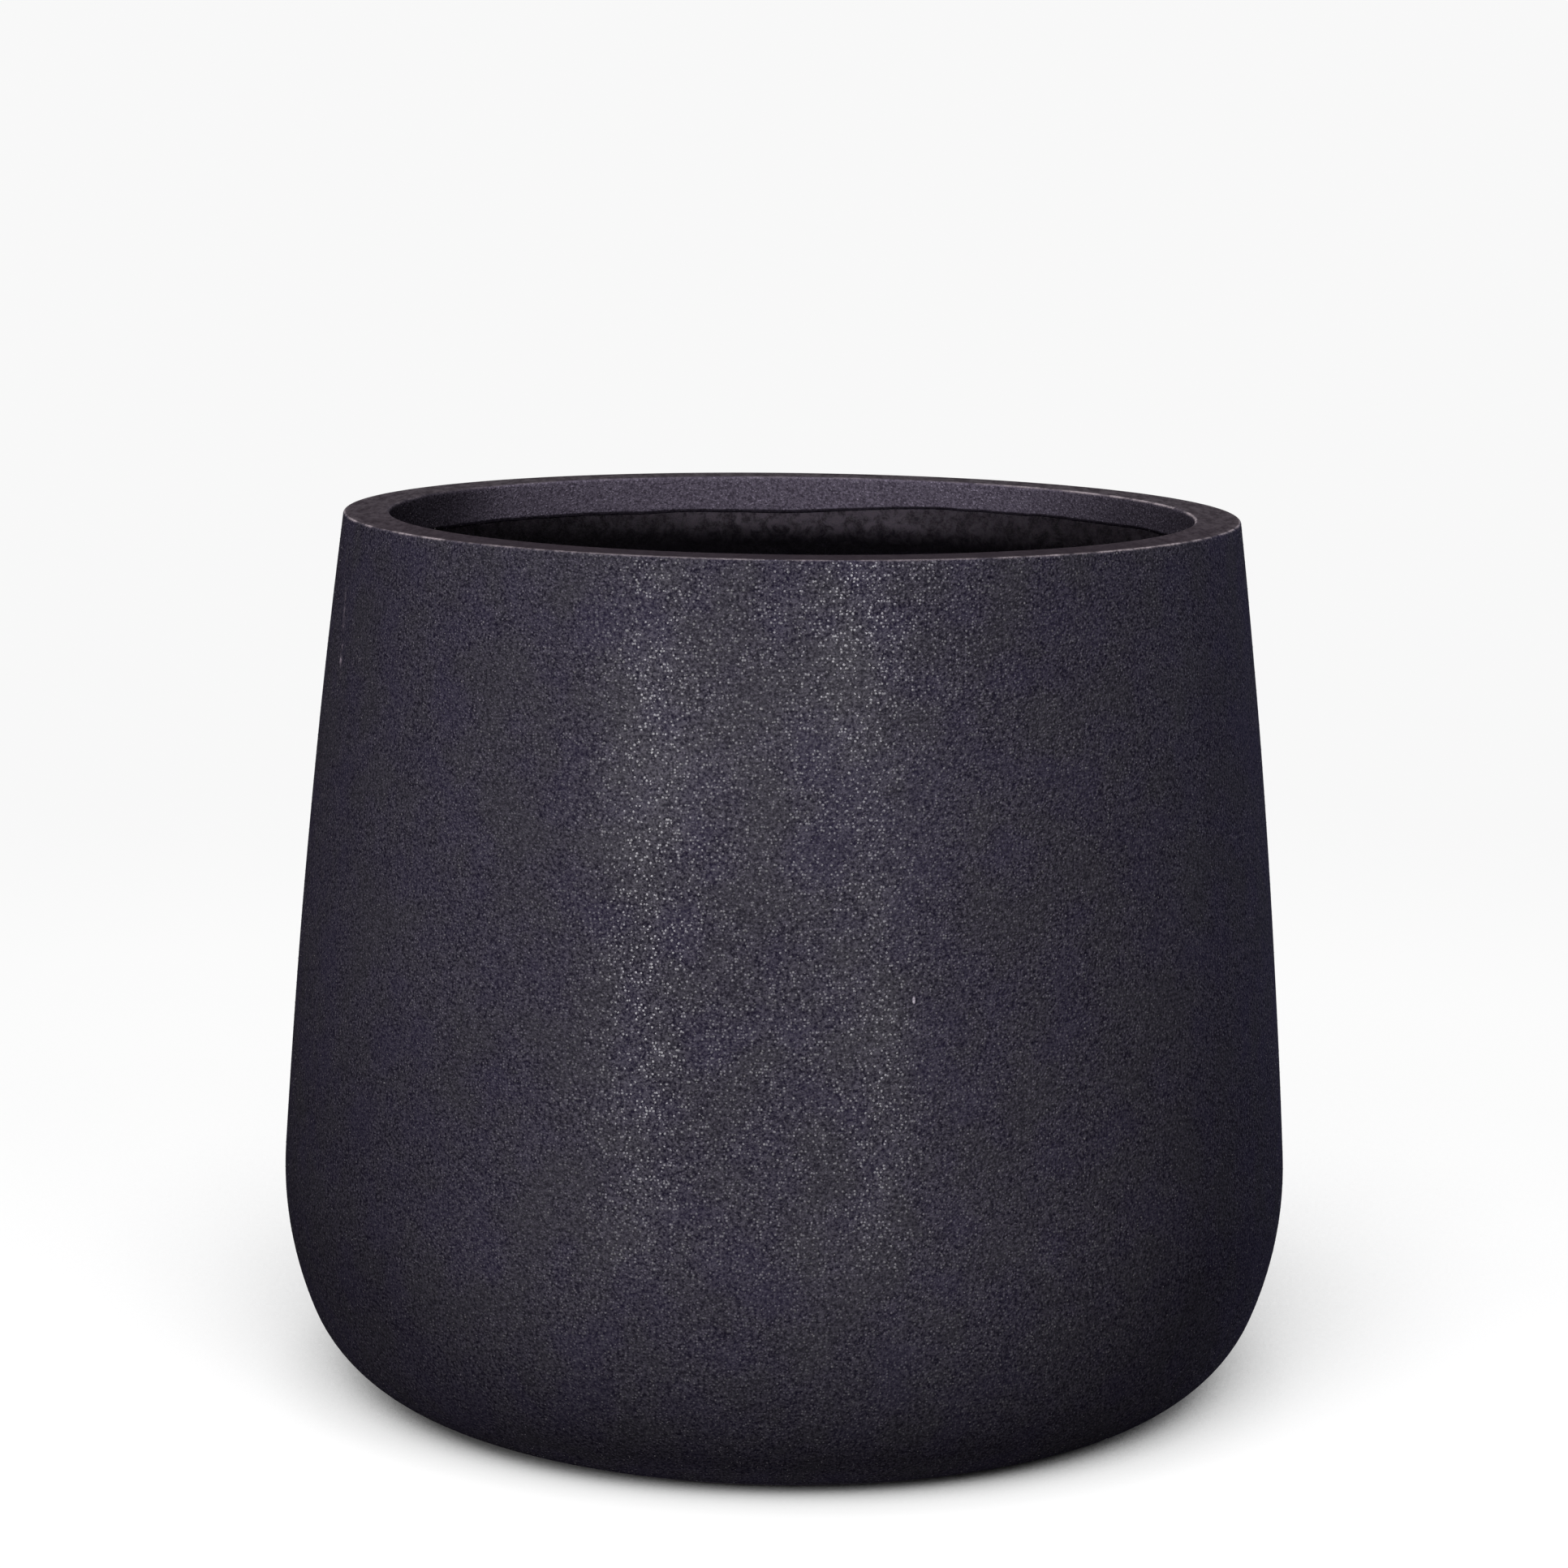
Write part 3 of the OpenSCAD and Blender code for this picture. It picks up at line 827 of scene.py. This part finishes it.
def gritTree():  # strews coarse grains that stand proud of the coat
    tree, bench, given = startTree("strewGrit", [
        ("Density", "Float", 1000.0), ("Closest", "Float", 0.003), ("Grain Size", "Float", 0.0004),
        ("Sunk", "Float", 0.0001), ("Seed", "Int", 7), ("Material", "Material", None)])
    strewn = bench.node("GeometryNodeDistributePointsOnFaces", {"distribute_method": "POISSON"},
                        {"Mesh": given["Geometry"], "Distance Min": given["Closest"],
                         "Density Max": given["Density"], "Density Factor": mark(bench, "grit"),
                         "Seed": given["Seed"]})
    sink = bench.scaled(strewn.sister("Normal"), given["Sunk"] * -1)
    points = bench.node("GeometryNodeSetPosition", {}, {"Geometry": strewn, "Offset": sink})

    def chance(low, high, seed):  # a random vector for each grain
        return bench.node("FunctionNodeRandomValue", {"data_type": "FLOAT_VECTOR"},
                          {"Min": (low,) * 3, "Max": (high,) * 3, "Seed": seed})

    grain = bench.node("GeometryNodeMeshUVSphere", {}, {"Segments": 4, "Rings": 2, "Radius": 1.0})
    size = bench.scaled(chance(gritShape["smallest"], 1.0, gritShape["sizeSeed"]), given["Grain Size"])
    grains = bench.node("GeometryNodeInstanceOnPoints", {}, {
        "Points": points, "Instance": grain, "Scale": size,
        "Rotation": chance(0.0, math.tau, gritShape["turnSeed"])})
    tone = bench.node("FunctionNodeRandomValue", {"data_type": "FLOAT"}, {"Seed": gritShape["toneSeed"]}, 1)
    grains = store(bench, grains, "grainTone", tone, "INSTANCE")
    endTree(bench, grains, given["Material"])
    return tree


grit = runTree(gritTree(), coat, {
    "Density": gritShape["perSquareMetre"], "Closest": gritShape["closest"], "Grain Size": gritShape["size"],
    "Sunk": gritShape["sunk"], "Seed": gritShape["seed"], "Material": gritFinish()}, "coatGrit")
print("grit strewn:", len(grit.data.polygons), "faces")

for node, finish in (("outer_shell", castClay), ("rim_ring", castClay), ("base_floor", footClay)):
    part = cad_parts[node]
    part.data.materials.clear()
    part.data.materials.append(finish)

for piece, nodes, slot in ((coat, ["sand_coat"], "sand_coat"), (lip, ["return_lip"], "fibre_clay"),
                           (wallMat, ["wall_lining"], "fibre_mat"),
                           (floorMat, ["floor_lining"], "fibre_mat"), (grit, [], "sand_coat")):
    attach(piece, "pot")
    if nodes:
        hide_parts(*nodes)
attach(stopper, "stopper")
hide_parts("drain_plug")
print("pieces ride on their bodies")

studio = {
    "floorReach": 9.0, "farWhite": 0.940,  # 1 is white
    "fadeFrom": 0.25, "fadeTo": 1.9,  # distances between which the floor goes over into the backdrop
    "softReach": 0.9, "softFrom": (-0.04, -0.84, 0.52),  # the soft shadow's reach, where its light stands
    "softDark": 0.47, "softCurve": 2.6,
    "paper": 0.05, "paperFrom": 0.3, "paperTo": 0.8,  # the lamps' own shadow, close to the foot
    "room": 0.03, "bounce": 0.09,  # light from all round, and back from the floor
}


def seenDirectly(bench):  # 1 for what the camera, a reflection or clear glass shows
    seen = bench.node("ShaderNodeLightPath", {}, {}, "Is Camera Ray")
    return bench.clamped(seen + seen.sister("Is Glossy Ray") + seen.sister("Is Transmission Ray"))


def floorFinish():
    look = studio
    material, bench, place = startFinish("studioFloor")
    distance = bench.length(place)
    tone = bench.ramp(distance, look["fadeFrom"], look["fadeTo"], 1.0, look["farWhite"])
    towards = bench.joined(dict(enumerate(look["softFrom"])))
    openness = bench.node("ShaderNodeAmbientOcclusion", {"samples": 16},
                          {"Distance": look["softReach"], "Normal": towards}, "AO")
    shade = bench.clamped((1 - openness) / (1 - look["softDark"]))
    lit = 1 - shade ** look["softCurve"]
    white = bench.node("ShaderNodeEmission", {}, {"Color": (1, 1, 1, 1), "Strength": tone * lit})
    near = bench.ramp(distance, look["paperFrom"], look["paperTo"], 1.0, 0.0)
    paper = bench.node("ShaderNodeBsdfDiffuse", {}, {
        "Color": bench.blend(near, (0.0, 0.0, 0.0), (look["paper"],) * 3)})
    dull = bench.node("ShaderNodeBsdfDiffuse", {}, {"Color": (look["bounce"],) * 3 + (1,)})
    shown = bench.node("ShaderNodeAddShader", {}, {0: white, 1: paper})
    endFinish(bench, bench.node("ShaderNodeMixShader", {}, {0: seenDirectly(bench), 1: dull, 2: shown}))
    return material


def makeFloor():
    shape = bmesh.new()
    reach = studio["floorReach"]
    corners = ((-1, -1), (1, -1), (1, 1), (-1, 1))
    shape.faces.new([shape.verts.new((x * reach, y * reach, 0)) for x, y in corners])
    mesh = bpy.data.meshes.new("studioFloor")
    shape.to_mesh(mesh)
    shape.free()
    mesh.materials.append(floorFinish())
    floor = bpy.data.objects.new("studioFloor", mesh)
    bpy.context.scene.collection.objects.link(floor)


def makeWorld():
    world = bpy.data.worlds.new("studio")
    bpy.context.scene.world = world
    world.use_nodes = True
    world.node_tree.nodes.clear()
    bench = Bench(world.node_tree)
    pale, room = [bench.node("ShaderNodeBackground", {}, {"Color": (1, 1, 1, 1), "Strength": studio[name]})
                  for name in ("farWhite", "room")]
    shown = bench.node("ShaderNodeMixShader", {}, {0: seenDirectly(bench), 1: room, 2: pale})
    bench.node("ShaderNodeOutputWorld", {}, {"Surface": shown})


lamps = {  # bearing from the front in degrees, distance from the axis, height, width, tallness, watts
    "highSoftbox": (-8, 0.70, 2.20, 0.60, 0.60, 61.0),
    "frontUpperBar": (0, 1.955, 0.575, 0.95, 0.05, 5.6),
    "leftUpperSpot": (-31, 1.955, 0.575, 0.12, 0.05, 3.5),
    "leftMiddleBar": (-28, 1.983, 0.46, 0.95, 0.13, 5.6),
    "leftLowerBar": (-28, 1.999, 0.18, 0.95, 0.13, 0.8),
    "leftLowerSpot": (-31, 1.999, 0.18, 0.12, 0.13, 5.4),
    "leftLowSpot": (-25, 1.996, 0.07, 0.12, 0.13, 2.4),
    "frontLowBar": (0, 1.996, 0.07, 0.95, 0.13, 4.4),
    "rightLowSpot": (20, 1.996, 0.07, 0.12, 0.13, 4.0),
    "backLeftSoftbox": (-127, 2.00, 0.24, 0.90, 0.38, 12.0),
    "backRightSoftbox": (127, 2.00, 0.24, 0.90, 0.38, 32.0),
    "glossTopBar": (28, 1.914, 0.78, 0.95, 0.13, 7.0),  # these three only draw the second streak of gloss
    "glossTopSpot": (11, 1.914, 0.78, 0.12, 0.13, 3.4),
    "glossUpperSpot": (17, 1.955, 0.575, 0.12, 0.05, 3.2),
}
lampAim = Vector((0, 0, 0.25))
lampTint, coolTint = (1.0, 0.985, 1.02), (0.90, 0.95, 1.17)  # the cool one is for the back right


def makeLamps():
    for name, (bearing, distance, height, width, tallness, watts) in lamps.items():
        light = bpy.data.lights.new(name, "AREA")
        light.shape = "RECTANGLE"
        light.size, light.size_y, light.energy = width, tallness, watts
        light.color = coolTint if name == "backRightSoftbox" else lampTint
        lamp = bpy.data.objects.new(name, light)
        angle = math.radians(bearing)
        lamp.location = (distance * math.sin(angle), -distance * math.cos(angle), height)
        lamp.rotation_euler = (lampAim - lamp.location).to_track_quat("-Z", "Y").to_euler()
        lamp.visible_camera = False
        lamp.visible_diffuse = not name.startswith("gloss")
        bpy.context.scene.collection.objects.link(lamp)


viewpoint = {"place": (0.0, -2.1229, 0.6430), "pitch": 9.117, "yaw": -0.0642, "roll": 0.6957,
             "lens": 99.43, "sensor": 36}


def makeCamera():
    pitch, yaw, roll = [math.radians(viewpoint[angle]) for angle in ("pitch", "yaw", "roll")]
    ahead = Vector((math.sin(yaw) * math.cos(pitch), math.cos(yaw) * math.cos(pitch), -math.sin(pitch)))
    right = Vector((math.cos(yaw), -math.sin(yaw), 0))
    up = right.cross(ahead)
    tiltedRight = math.cos(roll) * right + math.sin(roll) * up
    tiltedUp = math.cos(roll) * up - math.sin(roll) * right
    lens = bpy.data.cameras.new("studioCamera")
    lens.sensor_width = viewpoint["sensor"]
    lens.lens = viewpoint["lens"]
    camera = bpy.data.objects.new("studioCamera", lens)
    turned = Matrix((tiltedRight, tiltedUp, -ahead)).transposed().to_4x4()
    camera.matrix_world = Matrix.Translation(viewpoint["place"]) @ turned
    bpy.context.scene.collection.objects.link(camera)
    bpy.context.scene.camera = camera


makeFloor()
makeWorld()
makeLamps()
makeCamera()
bpy.context.scene.view_settings.view_transform = "Standard"
print("studio ready")
